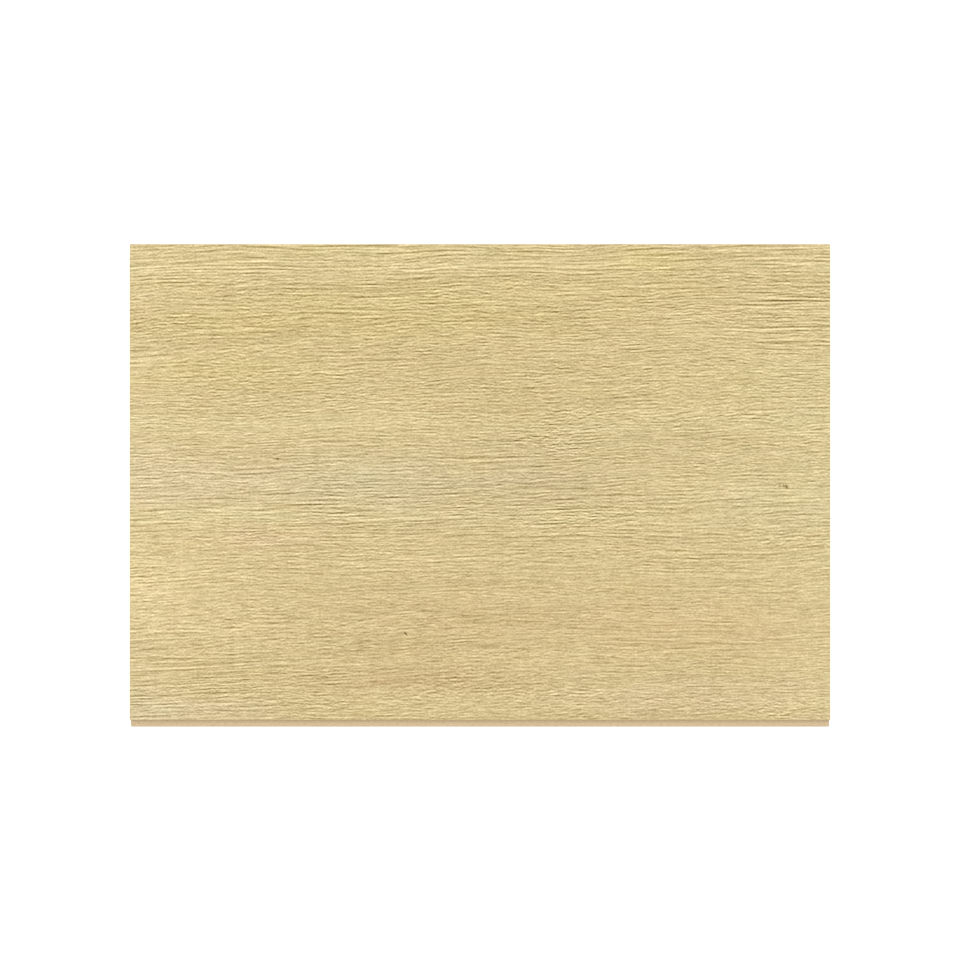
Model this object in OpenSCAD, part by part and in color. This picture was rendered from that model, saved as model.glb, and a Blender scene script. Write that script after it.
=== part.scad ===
// Short cut piece of laminate floor plank, lying decor face up.
// Its length and grain run along X, its width along Y, and its underside lies at Z = 0.
// The origin is on the underside, below the middle of the decor face.
// One milled section runs the whole length: a tongue on the -Y edge, and on the +Y edge
// the groove that takes the tongue of a like plank. Both ends are sawn square.

/* [Board] */
// Length of the piece, along the grain
board_l = 284; // [60:1:1400]
// Width of the decor face, which is also the pitch of the laid planks
face_w = 193; // [90:0.5:330]
// Thickness from the underside to the decor face
board_t = 8; // [7:0.5:12]
// Easing along the two long top edges, measured down each face
arris = 0.2; // [0.1:0.05:0.4]

/* [Tongue] */
// Depth of the tongue's top below the decor face
tongue_drop = 3; // [2.4:0.1:3.2]
// Thickness of the tongue
tongue_t = 2.5; // [2.2:0.1:2.8]
// How far the tongue stands out past the decor face
tongue_out = 3; // [2.6:0.1:4.5]
// Radius of the nose where it meets the tongue's top
nose_top_r = 0.6; // [0.2:0.1:0.9]
// Radius of the nose where it meets the tongue's underside
nose_low_r = 1; // [0.3:0.1:1.2]

/* [Snap bead] */
// Distance from the shoulder to the middle of the bead under the tongue
bead_out = 1.3; // [1:0.1:1.4]
// Radius of the bead
bead_r = 0.5; // [0.35:0.05:0.6]
// How far the bead stands down from the tongue's underside
bead_drop = 0.3; // [0.2:0.05:0.35]

/* [Fit of the groove] */
// Play round the tongue and its bead
play = 0.1; // [0.05:0.05:0.2]
// Free depth ahead of the nose, for dust and glue
nose_gap = 0.4; // [0.2:0.1:1]
// How far the lip under the groove stays short of the decor face, so that the top edges close first
lip_short = 0.2; // [0.1:0.05:0.5]
// Chamfer at the mouth of the groove
lead_in = 0.2; // [0.1:0.05:0.5]

/* [Hidden] */
$fn = 64;
oak = [0.84, 0.76, 0.57];
// Height of the tongue's flat underside
tongue_z = board_t - tongue_drop - tongue_t;
// The two top edges, and how far a cut runs past the wood that it takes away
tongue_edge = -face_w / 2;
groove_edge = face_w / 2;
overrun = 1;

// What easing a square edge takes away, measured along each of its faces.
module eased_edge(leg) {
    rotate(45) square(leg * sqrt(2), center = true);
}

// What rounding an outer corner at the origin takes away.
module rounded_corner(r) {
    difference() {
        translate([-r, -r]) square(2 * r);
        translate([-r, -r]) circle(r);
    }
}

// The tongue's outline, standing out along +X from a shoulder at the origin, its underside at Y = 0.
// The groove is the same outline grown by the play, and deeper by the gap ahead of the nose.
module tongue_outline(grow = 0, ahead = 0) {
    reach = tongue_out + ahead;
    top = tongue_t + grow;
    difference() {
        translate([-overrun, -grow]) square([overrun + reach, tongue_t + 2 * grow]);
        translate([reach, top]) rounded_corner(nose_top_r + grow);
        translate([reach, -grow]) mirror([0, 1]) rounded_corner(nose_low_r + grow);
    }
    translate([bead_out, bead_r - bead_drop]) circle(bead_r + grow);
}

// A like plank's tongue where it seats, with the shoulder at the given edge. It points to -Y.
module seated_tongue(edge, grow = 0, ahead = 0) {
    translate([edge, tongue_z]) mirror([1, 0]) tongue_outline(grow, ahead);
}

module groove_cut() {
    seated_tongue(groove_edge, play, nose_gap);
    translate([groove_edge, tongue_z + tongue_t + play]) eased_edge(lead_in);
    translate([groove_edge - lip_short, tongue_z - play]) eased_edge(lead_in);
    translate([groove_edge - lip_short, -overrun]) square([lip_short + overrun, overrun + tongue_z]);
}

// The section across the width, its X along the board's Y and its Y along the board's Z.
module section() {
    difference() {
        translate([tongue_edge, 0]) square([face_w, board_t]);
        groove_cut();
        translate([tongue_edge, board_t]) eased_edge(arris);
        translate([groove_edge, board_t]) eased_edge(arris);
    }
    seated_tongue(tongue_edge);
}

module plank() {
    color(oak)
        translate([-board_l / 2, 0, 0])
            rotate([90, 0, 90])
                linear_extrude(board_l)
                    section();
}

plank();
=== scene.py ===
import math
import bmesh
import bpy
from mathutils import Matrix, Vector


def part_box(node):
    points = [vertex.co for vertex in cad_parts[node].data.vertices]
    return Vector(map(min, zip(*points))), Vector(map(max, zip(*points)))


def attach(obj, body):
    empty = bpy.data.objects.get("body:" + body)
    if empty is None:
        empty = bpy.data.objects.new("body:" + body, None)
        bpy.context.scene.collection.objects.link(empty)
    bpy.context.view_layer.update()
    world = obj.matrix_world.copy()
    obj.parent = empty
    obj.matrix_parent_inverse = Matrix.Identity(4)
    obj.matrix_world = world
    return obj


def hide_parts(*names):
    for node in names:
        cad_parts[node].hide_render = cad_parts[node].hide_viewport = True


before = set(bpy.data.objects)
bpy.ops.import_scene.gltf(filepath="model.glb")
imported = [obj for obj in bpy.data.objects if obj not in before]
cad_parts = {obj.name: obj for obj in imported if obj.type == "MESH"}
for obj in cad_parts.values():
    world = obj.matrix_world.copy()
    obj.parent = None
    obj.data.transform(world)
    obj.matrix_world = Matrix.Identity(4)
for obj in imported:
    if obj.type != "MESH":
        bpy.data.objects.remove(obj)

# Dresses a short cut piece of laminate floor plank: printed oak on top, bare fibre round the edges and a
# plain paper underneath
mm = 0.001
skin = 0.01  # mm, how near a side of the board a point counts as on it
facing = 0.99  # how squarely a face looks along an axis to count as the board's top, end or underside
scene = bpy.context.scene
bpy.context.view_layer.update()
low, high = [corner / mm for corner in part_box("plank")]
print("frame loaded, the board is", [round(side, 2) for side in high - low], "mm")


# A node's output, so that the maths on it reads as a formula
class Wire:
    def __init__(self, nodes, socket):
        self.nodes = nodes
        self.socket = socket

    def maths(self, operation, *others):
        return self.nodes.add("ShaderNodeMath", {"operation": operation}, [self, *others])

    def __add__(self, other):
        return self.maths("ADD", other)

    def __sub__(self, other):
        return self.maths("SUBTRACT", other)

    def __mul__(self, other):
        return self.maths("MULTIPLY", other)

    def __truediv__(self, other):
        return self.maths("DIVIDE", other)

    def __rsub__(self, other):
        return self.nodes.add("ShaderNodeMath", {"operation": "SUBTRACT"}, [other, self])

    def __neg__(self):
        return self * -1

    __radd__ = __add__
    __rmul__ = __mul__


# How far apart the seeds read the noise along each axis, in cells
seedStep = (37.3, 11.7)


# A node tree to build in
class Nodes:
    def __init__(self, tree):
        self.tree = tree

    # Adds a node of any type. Its settings come first, then its sockets by place or by name.
    def add(self, kind, settings=None, sockets=(), output=None):
        node = self.tree.nodes.new(kind)
        for name, value in (settings or {}).items():
            setattr(node, name, value)
        for key, value in sockets.items() if isinstance(sockets, dict) else enumerate(sockets):
            live = [s for s in node.inputs if s.enabled]
            socket = live[key] if isinstance(key, int) else next(s for s in live if s.name == key)
            if isinstance(value, Wire):
                self.tree.links.new(value.socket, socket)
            else:
                socket.default_value = value
        results = [s for s in node.outputs if s.enabled and output in (None, s.name)]
        return Wire(self, results[0]) if results else None

    def vector(self, x, y, z=0):
        return self.add("ShaderNodeCombineXYZ", {}, [x, y, z])

    def split(self, wire):
        return [self.add("ShaderNodeSeparateXYZ", {}, [wire], axis) for axis in "XYZ"]

    def colour(self, red, green, blue):
        return self.add("ShaderNodeCombineColor", {"mode": "RGB"}, [red, green, blue])

    def mix(self, share, first, second):
        settings = {"data_type": "RGBA", "blend_type": "MIX"}
        return self.add("ShaderNodeMix", settings, {"Factor": share, "A": first, "B": second})

    # A bump of that height in mm
    def bump(self, strength, height):
        return self.add("ShaderNodeBump", {}, {"Strength": strength, "Distance": mm, "Height": height})

    # Noise from about -1 to 1. The entry gives its cells' length and width in mm, and its seed.
    def noise(self, x, y, entry):
        length, width = entry["cell"]
        seed = entry["seed"]
        place = self.vector(x / length + seedStep[0] * seed, y / width + seedStep[1] * seed)
        sockets = {"Vector": place, "Scale": 1, "Detail": entry.get("detail", 0)}
        return self.add("ShaderNodeTexNoise", {"noise_dimensions": "2D"}, sockets) * 2 - 1


# 1 in the middle of an oval, fading to nothing at about twice its reach
def softSpot(x, y, at, reach):
    sideways = ((x - at[0]) / reach[0]).maths("POWER", 2)
    upwards = ((y - at[1]) / reach[1]).maths("POWER", 2)
    return (-(sideways + upwards)).maths("EXPONENT")


def rampUp(wire, start, end):
    sockets = {"Value": wire, "From Min": start, "From Max": end}
    return wire.nodes.add("ShaderNodeMapRange", {"interpolation_type": "SMOOTHSTEP", "clamp": True}, sockets)


def clamp(wire):
    return wire.maths("MAXIMUM", 0).maths("MINIMUM", 1)


displayGamma = 2.2
whiteStep = 255  # the lightest of a picture's 8-bit steps
white = (1, 1, 1, 1)


# A tone in 8-bit steps as the linear colour that a shader wants
def inkColour(red, green, blue):
    return (*[(step / whiteStep) ** displayGamma for step in (red, green, blue)], 1)


# The printed oak. Places and sizes are in mm from the middle of the face, tones in 8-bit steps.
oak = {
    "tone": (213.9, 193.7, 145),
    "depth": (1.005, 1.01, 0.94),  # how strongly red, green and blue take the pores
    "flow": [  # slow bends of the grain
        {"cell": (95, 60), "seed": 1, "push": 1.9},
        {"cell": (30, 24), "seed": 2, "push": 0.65},
        {"cell": (9, 8), "seed": 3, "push": 0.08},
    ],
    "leans": [  # where the grain climbs to the right, first of all over the whole face
        {"at": (0, 0), "reach": (2000, 2000), "climb": 0.014},
        {"at": (-75, -72), "reach": (160, 30), "climb": 0.03},
        {"at": (0, 41), "reach": (600, 16), "climb": 0.016},
        {"at": (35, -90), "reach": (55, 12), "climb": 0.06},
    ],
    # From short flecks to long threads. The edge is the distance from a printed pore to its pale borders,
    # which are a painted highlight of the pressed rims. The skew makes the dark side the stronger one, and
    # layers that are patchy above 0 fade where the others grow.
    "pores": [
        {"cell": (1.1, 0.7), "seed": 4, "strength": 12, "edge": 0.65, "skew": 0, "patchy": 0.2},
        {"cell": (4, 0.56), "seed": 5, "strength": 6, "edge": 0.46, "skew": 0, "patchy": 0.5},
        {"cell": (3.2, 0.72), "seed": 6, "strength": 13, "edge": 0.65, "skew": 0, "patchy": 0.7},
        {"cell": (6.5, 0.72), "seed": 7, "strength": 14, "edge": 0.65, "skew": 0.02, "patchy": 0.3},
        {"cell": (15, 0.8), "seed": 8, "strength": 14.2, "edge": 0.65, "skew": 0.03, "patchy": -0.4},
        {"cell": (21, 1.15), "seed": 9, "strength": 17, "edge": 0.65, "skew": 0.012, "patchy": -0.7},
        {"cell": (28, 1.9), "seed": 10, "strength": 9, "edge": 0.85, "skew": 0, "patchy": -0.7},
    ],
    "stagger": {"cell": (50, 2.4), "seed": 11, "push": 0.4},  # moves the pores' ends, in pore lengths
    "patches": {"cell": (45, 8), "seed": 12, "middle": 0.15},
    "flecked": [  # where short flecks take over from long threads, or the other way round below 0
        {"at": (0, 92), "reach": (400, 12), "gain": -0.7},
        {"at": (127, 66), "reach": (32, 12), "gain": -0.8},
        {"at": (0, 39), "reach": (400, 16), "gain": 0.6},
        {"at": (110, 12), "reach": (45, 13), "gain": 0.6},
        {"at": (-25, -9), "reach": (70, 7), "gain": -0.6},
        {"at": (125, -9), "reach": (28, 8), "gain": -0.7},
        {"at": (0, -50), "reach": (400, 9), "gain": 0.5},
        {"at": (80, -62), "reach": (60, 6), "gain": -0.8},
        {"at": (-15, -70), "reach": (50, 11), "gain": 0.6},
        {"at": (45, -89), "reach": (110, 11), "gain": 1.1},
        {"at": (-125, -83), "reach": (42, 15), "gain": -0.6},
    ],
    "calm": {"cell": (26, 7), "seed": 20, "gain": 0.25},  # stronger and calmer patches
    "clouds": [  # soft tones between the pores
        {"cell": (0.95, 0.85), "seed": 13, "strength": 14},
        {"cell": (2.6, 2.4), "seed": 14, "strength": 8},
        {"cell": (6, 2.2), "seed": 15, "strength": 8.5},
        {"cell": (14, 5), "seed": 16, "strength": 3.5},
        {"cell": (60, 5), "seed": 17, "strength": 5},
    ],
    "casts": [  # patches of a redder or greener, and of a yellower or greyer tone
        {"cell": (14, 4), "seed": 18, "steps": (0.9, -0.8, 0.3)},
        {"cell": (22, 5), "seed": 19, "steps": (-0.3, 0.1, 2)},
    ],
    "contrast": [  # where the pores show more or less
        {"at": (0, 82), "reach": (400, 15), "gain": 0.2},
        {"at": (0, 65), "reach": (400, 6), "gain": 0.11},
        {"at": (-75, 66), "reach": (48, 8), "gain": 0.13},
        {"at": (122, 67), "reach": (26, 11), "gain": 0.4},
        {"at": (-75, 36), "reach": (70, 6), "gain": 0.14},
        {"at": (-60, 23), "reach": (90, 5), "gain": -0.13},
        {"at": (32, 18), "reach": (16, 9), "gain": 0.8},
        {"at": (-95, 11), "reach": (20, 5), "gain": 0.25},
        {"at": (75, 11), "reach": (60, 9), "gain": -0.14},
        {"at": (-75, -2), "reach": (75, 6), "gain": 0.1},
        {"at": (-56, -10), "reach": (19, 11), "gain": 0.5},
        {"at": (-10, -8), "reach": (14, 5), "gain": 0.4},
        {"at": (36, -14), "reach": (25, 7), "gain": 0.75},
        {"at": (124, -26), "reach": (22, 7), "gain": 0.34},
        {"at": (0, -46), "reach": (400, 9), "gain": -0.13},
        {"at": (-85, -49), "reach": (40, 8), "gain": -0.18},
        {"at": (60, -55), "reach": (110, 28), "gain": -0.2},
        {"at": (132, -58), "reach": (30, 18), "gain": -0.25},
        {"at": (0, -73), "reach": (400, 7), "gain": -0.09},
        {"at": (-114, -86), "reach": (44, 10), "gain": 0.42},
        {"at": (60, -91), "reach": (85, 9), "gain": -0.2},
    ],
    "tints": [  # broad bands and spots of another tone, about from the top edge down
        {"at": (-40, 94), "reach": (110, 5), "steps": (-1, 1, -2)},
        {"at": (-142, 0), "reach": (18, 300), "steps": (3, 3.2, 4.5)},
        {"at": (142, 0), "reach": (26, 300), "steps": (2.5, 4, 4)},
        {"at": (0, 87.3), "reach": (400, 2), "steps": (4.5, 5.5, 4.5)},
        {"at": (0, 81), "reach": (400, 2.5), "steps": (-2.5, -2.5, -3.5)},
        {"at": (-130, 87), "reach": (28, 11), "steps": (4.5, 4.5, 3)},
        {"at": (100, 80), "reach": (50, 14), "steps": (-2, -2.5, -2.5)},
        {"at": (70, 89), "reach": (18, 5), "steps": (1, 2, -4)},
        {"at": (0, 76), "reach": (110, 8), "steps": (-1, -1, -4.5)},
        {"at": (-70, 65), "reach": (120, 8), "steps": (-3, -4, -9)},
        {"at": (-110, 46), "reach": (60, 8), "steps": (3, 2.5, -2.5)},
        {"at": (110, 40), "reach": (60, 10), "steps": (0, 2, 0)},
        {"at": (8, 43), "reach": (80, 18), "steps": (-5, -5.5, -6.5)},
        {"at": (-117, 28.9), "reach": (28, 0.5), "steps": (-8, -8, -8)},
        {"at": (-100, 25), "reach": (70, 4), "steps": (4, 6.5, 6)},
        {"at": (90, 23), "reach": (90, 4), "steps": (1, 4, 4)},
        {"at": (30, 15), "reach": (50, 4), "steps": (-5, -4, -2)},
        {"at": (92, 10), "reach": (35, 6), "steps": (-4, -3, -2)},
        {"at": (-128, 1), "reach": (46, 12), "steps": (4, 5.5, 11)},
        {"at": (-45, 0), "reach": (40, 13), "steps": (-2.5, 1, 6)},
        {"at": (22, 0), "reach": (38, 10), "steps": (-8.5, -7, -3)},
        {"at": (120, -9), "reach": (42, 12), "steps": (1, 3.5, 5)},
        {"at": (-110, -13), "reach": (60, 3.5), "steps": (3, 5, 4)},
        {"at": (30, -15), "reach": (60, 4), "steps": (0.5, 2, 2.5)},
        {"at": (-90, -23), "reach": (30, 5), "steps": (3, -1, 3)},
        {"at": (0, -24), "reach": (80, 3), "steps": (-3, -3, -3)},
        {"at": (-140, -35), "reach": (34, 18), "steps": (8, 8, 5)},
        {"at": (-122, -52), "reach": (36, 17), "steps": (6, 5, 5.5)},
        {"at": (-12, -57), "reach": (76, 20), "steps": (-3.5, -6, -6)},
        {"at": (100, -60), "reach": (60, 14), "steps": (1.5, -2, -2)},
        {"at": (-28, -80), "reach": (50, 6), "steps": (-4.5, -8, -6.5)},
        {"at": (-130, -92), "reach": (40, 8), "steps": (3, 4.5, 11)},
        {"at": (85, -88), "reach": (60, 9), "steps": (1.5, 0.5, 5)},
        {"at": (0, -96), "reach": (400, 2), "steps": (-3, -3.5, -3)},
    ],
    "marks": [  # small dark specks and a nick, turned in degrees
        {"at": (-82.2, 9.6), "reach": (1.4, 0.3), "turn": 3, "steps": 60},
        {"at": (-82, 9.2), "reach": (0.35, 0.5), "turn": 0, "steps": 45},
        {"at": (121.6, -1.3), "reach": (0.3, 0.8), "turn": 0, "steps": 50},
        {"at": (123.1, -1.3), "reach": (0.3, 0.6), "turn": 8, "steps": 65},
        {"at": (124.2, -1.6), "reach": (0.45, 0.95), "turn": 20, "steps": 80},
        {"at": (-30.1, -61.5), "reach": (0.27, 0.95), "turn": 38, "steps": 105},
    ],
    "skew": 0.0026,  # the same for all the pores together
    "glare": 0.065,  # what the gloss of the finish adds under a soft light, taken off the ink
    "roughness": 0.5,
    "gloss": 400,  # steps of tone that would change the roughness from 0 to 1
    "fibre": {"cell": (2.5, 0.22), "seed": 21, "detail": 2, "height": 0.006, "bump": 0.1},
    "poreDepth": 0.02,  # how deep the darkest pores are pressed in
    "darkest": 45,  # the pores' tone at that depth, in steps
    "cell": (1.75, 0.35),  # mesh cells of the pressed face
}


# Where a point lies across the grain, once the grain's bends are straightened out
def acrossGrain(nodes, x, y):
    bent = y
    for bend in oak["flow"]:
        bent = bent + nodes.noise(x, y, bend) * bend["push"]
    for lean in oak["leans"]:
        bent = bent - softSpot(x, y, lean["at"], lean["reach"]) * (x - lean["at"][0]) * lean["climb"]
    return bent


# One layer of pores. Taking off the tone on both sides leaves each dark printed line between two pale ones,
# painted highlights of its rims.
def poreAndRimHighlightLayer(nodes, x, y, layer):
    here, above, below = [nodes.noise(x, y + side * layer["edge"], layer) for side in (0, 1, -1)]
    tone = (here - (above + below) * 0.5) * layer["strength"]
    return tone - tone * tone * layer["skew"]


# Dark printed pores with painted highlights along their rims, in steps of tone, which the ink, the gloss and
# the pressed face all read
def oakPoresAndRimHighlights(nodes, x, y, across):
    stagger = nodes.noise(x, across, oak["stagger"]) * oak["stagger"]["push"]
    patches = nodes.noise(x, across, oak["patches"]) + oak["patches"]["middle"]
    for area in oak["flecked"]:
        patches = softSpot(x, y, area["at"], area["reach"]) * area["gain"] + patches
    pores = 0
    for layer in oak["pores"]:
        slid = x + stagger * layer["cell"][0]
        pores = poreAndRimHighlightLayer(nodes, slid, across, layer) * (patches * layer["patchy"] + 1) + pores
    gain = nodes.noise(x, across, oak["calm"]) * oak["calm"]["gain"] + 1
    for area in oak["contrast"]:
        gain = softSpot(x, y, area["at"], area["reach"]) * area["gain"] + gain
    pores = pores * gain
    return pores - pores * pores * oak["skew"]


def speck(x, y, mark):
    turn = math.radians(mark["turn"])
    dx, dy = x - mark["at"][0], y - mark["at"][1]
    along = dx * math.cos(turn) + dy * math.sin(turn)
    across = dy * math.cos(turn) - dx * math.sin(turn)
    return softSpot(along, across, (0, 0), mark["reach"])


def oakInk(nodes, x, y, across, pores):
    # The pores bring their painted rim highlights into the ink
    lift = pores
    for cloud in oak["clouds"]:
        lift = lift + nodes.noise(x, across, cloud) * cloud["strength"]
    for mark in oak["marks"]:
        lift = lift - speck(x, y, mark) * mark["steps"]
    # Tints follow the grain only halfway
    level = (y + across) * 0.5
    shades = [(softSpot(x, level, area["at"], area["reach"]), area["steps"]) for area in oak["tints"]]
    shades += [(nodes.noise(x, across, cast), cast["steps"]) for cast in oak["casts"]]
    channels = []
    for channel, tone in enumerate(oak["tone"]):
        ink = lift * oak["depth"][channel] + tone
        for share, steps in shades:
            ink = ink + share * steps[channel]
        channels.append((ink / whiteStep).maths("POWER", displayGamma) - oak["glare"])
    return nodes.colour(*channels)


# A material to build in, and its place on the board in mm
def startMaterial(name):
    material = bpy.data.materials.new(name)
    material.use_nodes = True
    nodes = Nodes(material.node_tree)
    nodes.tree.nodes.clear()
    place = nodes.add("ShaderNodeTexCoord", {}, [], "Object")
    return material, nodes, [axis / mm for axis in nodes.split(place)]


def endMaterial(nodes, sockets):
    shader = nodes.add("ShaderNodeBsdfPrincipled", {}, sockets)
    nodes.add("ShaderNodeOutputMaterial", {}, {"Surface": shader})


def makeDecor():
    material, nodes, (x, y, z) = startMaterial("oakDecor")
    across = acrossGrain(nodes, x, y)
    pores = oakPoresAndRimHighlights(nodes, x, y, across)
    # The pores are pressed into the mesh, so the bump has only the fine fibre between them
    fibre = nodes.noise(x, y, oak["fibre"]) * oak["fibre"]["height"]
    endMaterial(nodes, {
        "Base Color": oakInk(nodes, x, y, across, pores),
        "Roughness": oak["roughness"] - pores / oak["gloss"],
        "Normal": nodes.bump(oak["fibre"]["bump"], fibre),
    })
    return material


# The wood fibre core, sawn at the ends and milled along the sides, with a thin layer pressed on each face
core = {
    "pale": (224, 203, 165),
    "dark": (184, 156, 117),
    "bark": (142, 112, 78),  # specks of bark among the fibre
    "resin": (160, 132, 94),  # the glue line under the decor
    "decorEdge": (207, 186, 141),
    "backEdge": (209, 197, 172),
    "decorPaper": 0.3,  # thickness of the layer on top
    "resinLine": 0.12,
    "backPaper": 0.18,
    "blur": 0.03,  # how softly the layers meet
    # Each pattern has one noise along the milled sides and one across the sawn ends
    "flecks": {
        "side": {"cell": (1.7, 0.18), "seed": 31, "detail": 3},
        "end": {"cell": (0.8, 0.22), "seed": 32, "detail": 3},
        "share": 0.6, "height": 0.04, "roughness": 0.1,
    },
    "toolLines": {
        "side": {"cell": (40, 0.22), "seed": 33, "detail": 2},
        "end": {"cell": (0.45, 7), "seed": 34, "detail": 2},
        "share": 0.3, "height": 0.03,
    },
    "specks": {
        "side": {"cell": (1.1, 0.35), "seed": 35, "detail": 1},
        "end": {"cell": (0.7, 0.35), "seed": 36, "detail": 1},
        "share": 0.7, "from": 0.42, "to": 0.6,
    },
    "darkShare": 0.3,
    "density": 0.3,  # how much of the dark tone the pressing adds at the faces
    "roughness": 0.82,
    "bump": 0.6,
}


def makeCore():
    material, nodes, (x, y, z) = startMaterial("fibreCore")
    onEnd = rampUp(x.maths("ABSOLUTE"), high.x - 2 * skin, high.x - skin)
    flecks, toolLines, specks = core["flecks"], core["toolLines"], core["specks"]

    def sideOrEnd(pattern):
        onSide = nodes.noise(x, z + y, pattern["side"])
        return onSide * (1 - onEnd) + nodes.noise(y, z, pattern["end"]) * onEnd

    grit = sideOrEnd(flecks)
    lines = sideOrEnd(toolLines)
    bark = rampUp(sideOrEnd(specks), specks["from"], specks["to"])
    # The board is pressed denser, and so darker, towards both faces
    middle = high.z / 2
    dense = ((z - middle) / middle).maths("POWER", 2)
    share = dense * core["density"] + grit * flecks["share"] + lines * toolLines["share"]
    wood = nodes.mix(clamp(share + core["darkShare"]), inkColour(*core["pale"]), inkColour(*core["dark"]))
    wood = nodes.mix(bark * specks["share"], wood, inkColour(*core["bark"]))
    # Over it lie the resin line with the decor's edge, and the backing paper's edge
    paper = high.z - core["decorPaper"]
    resin = rampUp(z, paper - core["resinLine"] - core["blur"], paper - core["resinLine"])
    wood = nodes.mix(resin, wood, inkColour(*core["resin"]))
    wood = nodes.mix(rampUp(z, paper - core["blur"], paper), wood, inkColour(*core["decorEdge"]))
    aboveBack = rampUp(z, core["backPaper"], core["backPaper"] + core["blur"])
    wood = nodes.mix(1 - aboveBack, wood, inkColour(*core["backEdge"]))
    endMaterial(nodes, {
        "Base Color": wood,
        "Roughness": core["roughness"] + grit * flecks["roughness"],
        "Normal": nodes.bump(core["bump"], grit * flecks["height"] + lines * toolLines["height"]),
    })
    return material


# The balancing paper on the underside
back = {
    "paper": (205, 190, 160),
    "thread": (178, 160, 126),
    "clouds": {"cell": (26, 14), "seed": 41, "detail": 3, "share": 0.3},
    "threads": {"cell": (1.6, 0.5), "seed": 42, "detail": 3, "share": 0.35, "roughness": 0.06},
    "threadShare": 0.3,
    "height": 0.01,
    "bump": 0.4,
    "roughness": 0.62,
}


def makeBacking():
    material, nodes, (x, y, z) = startMaterial("backingPaper")
    cloudy = nodes.noise(x, y, back["clouds"])
    fibre = nodes.noise(x, y, back["threads"])
    share = cloudy * back["clouds"]["share"] + fibre * back["threads"]["share"] + back["threadShare"]
    endMaterial(nodes, {
        "Base Color": nodes.mix(clamp(share), inkColour(*back["paper"]), inkColour(*back["thread"])),
        "Roughness": back["roughness"] + fibre * back["threads"]["roughness"],
        "Normal": nodes.bump(back["bump"], (fibre + cloudy) * back["height"]),
    })
    return material


# The milled section, in mm. What the frame gives isn't repeated here.
milling = {
    "arris": 0.2,
    "tongueTop": 5,
    "tongueLow": 2.5,
    "tongueOut": 3,
    "noseTop": 0.6,
    "noseLow": 1,
    "beadOut": 1.3,
    "beadRound": 0.5,
    "beadDrop": 0.3,
    "play": 0.1,
    "noseGap": 0.4,
    "lipShort": 0.2,
    "leadIn": 0.2,
    "roundSteps": 6,
    "weld": 0.001,  # points nearer than this become one
    "smoothAngle": 30,  # edges flatter than this, in degrees, are shaded round
}


# Draws an outline in the board's YZ plane. Straight strokes are extruded from the pen's point, and round
# ones are spun from it.
class Pen:
    def __init__(self, form, x, y, z):
        self.form = form
        self.x = x
        self.start = (y, z)
        self.tip = form.verts.new(Vector((x, y, z)) * mm)

    def to(self, y, z):
        self.tip = bmesh.ops.extrude_vert_indiv(self.form, verts=[self.tip])["verts"][0]
        self.tip.co = Vector((self.x, y, z)) * mm

    def turn(self, y, z, degrees, steps):
        spun = bmesh.ops.spin(
            self.form, geom=[self.tip], cent=Vector((self.x, y, z)) * mm, axis=(1, 0, 0),
            angle=math.radians(degrees), steps=steps,
        )
        self.tip = next(part for part in spun["geom_last"] if isinstance(part, bmesh.types.BMVert))

    def close(self):
        self.to(*self.start)
        bmesh.ops.remove_doubles(self.form, verts=self.form.verts, dist=milling["weld"] * mm)
        return bmesh.ops.contextual_create(self.form, geom=self.form.edges[:])["faces"]


# The bead, or its recess, round a point of the tongue's underside at that level. The way is 1 towards +Y.
def drawBead(pen, middle, radius, level, way):
    centre = milling["tongueLow"] + milling["beadRound"] - milling["beadDrop"]
    rise = centre - level
    half = math.sqrt(radius ** 2 - rise ** 2)
    pen.to(middle - way * half, level)
    pen.turn(middle, centre, way * 2 * math.degrees(math.atan2(half, rise)), milling["roundSteps"])


def drawSection(form):
    m = milling
    face = high.y
    thick = high.z
    steps = m["roundSteps"]
    pen = Pen(form, low.x, -face, m["tongueTop"])
    # Up the tongue side, over the decor face and down to the groove
    pen.to(-face, thick - m["arris"])
    pen.to(-face + m["arris"], thick)
    pen.to(face - m["arris"], thick)
    pen.to(face, thick - m["arris"])
    grooveTop = m["tongueTop"] + m["play"]
    pen.to(face, grooveTop + m["leadIn"])
    pen.to(face - m["leadIn"], grooveTop)
    # The groove's bottom is the tongue's nose with its play
    nose = face - m["tongueOut"] - m["noseGap"]
    topRound = m["noseTop"] + m["play"]
    lowRound = m["noseLow"] + m["play"]
    grooveLow = m["tongueLow"] - m["play"]
    pen.to(nose + topRound, grooveTop)
    pen.turn(nose + topRound, grooveTop - topRound, 90, steps)
    pen.to(nose, grooveLow + lowRound)
    pen.turn(nose + lowRound, grooveLow + lowRound, 90, steps)
    # The recess for the bead, and the lip
    drawBead(pen, face - m["beadOut"], m["beadRound"] + m["play"], grooveLow, 1)
    lip = face - m["lipShort"]
    pen.to(lip - m["leadIn"], grooveLow)
    pen.to(lip, grooveLow - m["leadIn"])
    pen.to(lip, 0)
    # Back along the underside, and round the tongue with its bead
    pen.to(-face, 0)
    pen.to(-face, m["tongueLow"])
    drawBead(pen, -face - m["beadOut"], m["beadRound"], m["tongueLow"], -1)
    tip = -face - m["tongueOut"]
    pen.to(tip + m["noseLow"], m["tongueLow"])
    pen.turn(tip + m["noseLow"], m["tongueLow"] + m["noseLow"], -90, steps)
    pen.to(tip, m["tongueTop"] - m["noseTop"])
    pen.turn(tip + m["noseTop"], m["tongueTop"] - m["noseTop"], -90, steps)
    return pen.close()


# Cuts edges that run along one axis into equal parts
def cutEdges(form, edges, parts):
    bmesh.ops.subdivide_edges(form, edges=edges, cuts=parts - 1, use_grid_fill=True)


def isTop(face):
    return face.normal.z > facing and face.calc_center_median().z > (high.z - skin) * mm


def isUnderside(face):
    return face.normal.z < -facing and face.calc_center_median().z < skin * mm


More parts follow.
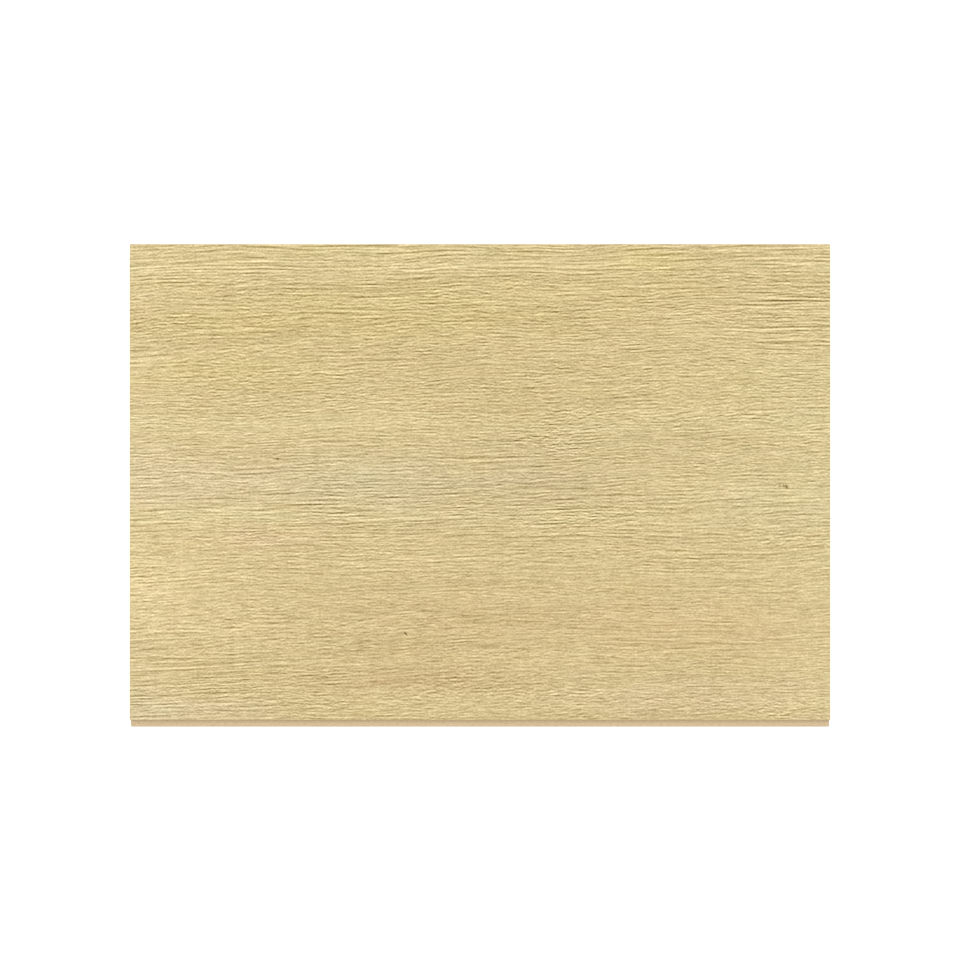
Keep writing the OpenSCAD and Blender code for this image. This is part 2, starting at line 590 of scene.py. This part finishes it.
# The decor face's edges that run across the board, or along it
def topEdges(form, across):
    edges = [edge for edge in form.edges if any(isTop(face) for face in edge.link_faces)]
    return [edge for edge in edges if (abs(edge.verts[0].co.x - edge.verts[1].co.x) < skin * mm) == across]


# Where the faces lie on the board's own UV map. The decor face fills the map's
# width. Above it come the milled sides, the sawn ends and the underside, which is squeezed.
atlas = {"name": "OFBake", "rim": 0.002, "gap": 0.004}


def layOut(form):
    layer = form.loops.layers.uv.new(atlas["name"])
    rim = atlas["rim"]
    left, front = low.x * mm, -high.y * mm
    scale = (1 - 2 * rim) / (high.x * mm - left)
    depth = -2 * front

    def lay(face, along, level, rise):
        for loop in face.loops:
            loop[layer].uv = (rim + along(loop.vert.co) * scale, level + rise(loop.vert.co))

    def fromLeft(spot):
        return spot.x - left

    for face in filter(isTop, form.faces):
        lay(face, fromLeft, rim, lambda spot: (spot.y - front) * scale)
    level = rim + depth * scale + atlas["gap"]
    # Each strip of the sides follows the last one as the section goes round
    ends = [face for face in form.faces if abs(face.normal.x) > facing]
    for loop in ends[0].loops:
        strip = next(face for face in loop.edge.link_faces if face != ends[0])
        if isTop(strip) or isUnderside(strip):
            continue
        start, width = loop.vert.co.copy(), loop.edge.calc_length()
        lay(strip, fromLeft, level, lambda spot: min((spot - start).yz.length, width) * scale)
        level += width * scale
    for end in ends:
        level += atlas["gap"]
        lay(end, lambda spot: spot.y - low.y * mm, level, lambda spot: spot.z * scale)
        level += high.z * mm * scale
    level += atlas["gap"]
    squeeze = (1 - rim - level) / depth
    for face in filter(isUnderside, form.faces):
        lay(face, fromLeft, level, lambda spot: (spot.y - front) * squeeze)


def buildBoard():
    form = bmesh.new()
    section = drawSection(form)
    grown = bmesh.ops.extrude_face_region(form, geom=section)["geom"]
    length = high.x - low.x
    corners = [part for part in grown if isinstance(part, bmesh.types.BMVert)]
    bmesh.ops.translate(form, verts=corners, vec=(length * mm, 0, 0))
    bmesh.ops.recalc_face_normals(form, faces=form.faces)
    for edge in form.edges:
        edge.smooth = edge.calc_face_angle(0) < math.radians(milling["smoothAngle"])
    decorSlot, coreSlot, backSlot = range(3)
    for face in form.faces:
        face.smooth = True
        face.material_index = decorSlot if isTop(face) else backSlot if isUnderside(face) else coreSlot
    # The decor face gets its mesh cells: first strips across the board, then each strip along it
    cellLength, cellWidth = oak["cell"]
    cutEdges(form, topEdges(form, across=False), round(length / cellLength))
    cutEdges(form, topEdges(form, across=True), round((high.y - milling["arris"]) * 2 / cellWidth))
    layOut(form)
    mesh = bpy.data.meshes.new("laminateBoard")
    form.to_mesh(mesh)
    form.free()
    board = bpy.data.objects.new("laminateBoard", mesh)
    scene.collection.objects.link(board)
    # In the order of the slots above
    for material in (makeDecor(), makeCore(), makeBacking()):
        mesh.materials.append(material)
    return board


# Presses the pores into the decor face with Geometry Nodes, and applies the result
def pressPores(board):
    group = bpy.data.node_groups.new("pressPores", "GeometryNodeTree")
    group.interface.new_socket("Geometry", in_out="INPUT", socket_type="NodeSocketGeometry")
    group.interface.new_socket("Geometry", in_out="OUTPUT", socket_type="NodeSocketGeometry")
    nodes = Nodes(group)
    mesh = nodes.add("NodeGroupInput")
    x, y, z = [axis / mm for axis in nodes.split(nodes.add("GeometryNodeInputPosition"))]
    pores = oakPoresAndRimHighlights(nodes, x, y, acrossGrain(nodes, x, y))
    onTop = z.maths("GREATER_THAN", high.z - skin)
    pressed = clamp(-pores / oak["darkest"]) * onTop * (oak["poreDepth"] * mm)
    sockets = {"Geometry": mesh, "Offset": nodes.vector(0, 0, -pressed)}
    nodes.add("NodeGroupOutput", {}, [nodes.add("GeometryNodeSetPosition", {}, sockets)])
    board.modifiers.new("pressPores", "NODES").node_group = group
    graph = bpy.context.evaluated_depsgraph_get()
    pressedMesh = bpy.data.meshes.new_from_object(board.evaluated_get(graph))
    board.modifiers.clear()
    board.data = pressedMesh
    pressedMesh.name = board.name


board = buildBoard()
print("board modelled,", len(board.data.polygons), "faces")
pressPores(board)
print("pores pressed into the decor face")
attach(board, "root")
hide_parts("plank")


# The plain pale floor glows a little, so that it stays white round the board
studio = {
    "floorSide": 8,  # metres, as are the soft box's side and place
    "floorDrop": 0.1,  # mm, how far it lies below the board
    "floorTone": (235, 235, 235),
    "floorRoughness": 0.9,
    "floorGlow": 0.45,
    "sky": 0.55,
    "boxSide": 1.6,
    "boxAt": (0, 0.35, 1.9),
    "boxPower": 24,  # watts
    "lens": 85,
    "sensor": 36,
    "clipStart": 0.01,  # metres
    "frameWidth": 389.15,  # mm of the face across the picture
    "lookAt": (0, 0.85),  # mm, where the picture's middle falls on the face
}


def makeFloor():
    floorForm = bmesh.new()
    bmesh.ops.create_grid(floorForm, x_segments=1, y_segments=1, size=studio["floorSide"] / 2)
    bmesh.ops.translate(floorForm, verts=floorForm.verts, vec=(0, 0, -studio["floorDrop"] * mm))
    mesh = bpy.data.meshes.new("floor")
    floorForm.to_mesh(mesh)
    floorForm.free()
    floor = bpy.data.objects.new("floor", mesh)
    scene.collection.objects.link(floor)
    material = bpy.data.materials.new("paleFloor")
    material.use_nodes = True
    nodes = Nodes(material.node_tree)
    nodes.tree.nodes.clear()
    endMaterial(nodes, {
        "Base Color": inkColour(*studio["floorTone"]),
        "Roughness": studio["floorRoughness"],
        "Emission Color": white,
        "Emission Strength": studio["floorGlow"],
    })
    mesh.materials.append(material)


def makeLight():
    world = bpy.data.worlds.new("studio")
    world.use_nodes = True
    background = world.node_tree.nodes["Background"]
    background.inputs["Strength"].default_value = studio["sky"]
    background.inputs["Color"].default_value = white
    scene.world = world
    light = bpy.data.lights.new("softBox", "AREA")
    light.shape = "SQUARE"
    light.size = studio["boxSide"]
    light.energy = studio["boxPower"]
    softBox = bpy.data.objects.new("softBox", light)
    softBox.location = studio["boxAt"]
    softBox.rotation_euler = (-Vector(studio["boxAt"])).to_track_quat("-Z", "Y").to_euler()
    scene.collection.objects.link(softBox)
    scene.view_settings.view_transform = "Standard"


# Straight down on the decor face, as the picture was taken
def placeCamera():
    camera = bpy.data.cameras.new("camera")
    camera.lens = studio["lens"]
    camera.sensor_width = studio["sensor"]
    camera.clip_start = studio["clipStart"]
    looker = bpy.data.objects.new("camera", camera)
    distance = studio["frameWidth"] * studio["lens"] / studio["sensor"]
    looker.location = Vector((*studio["lookAt"], high.z + distance)) * mm
    scene.collection.objects.link(looker)
    scene.camera = looker


makeFloor()
makeLight()
placeCamera()
print("studio and camera placed")
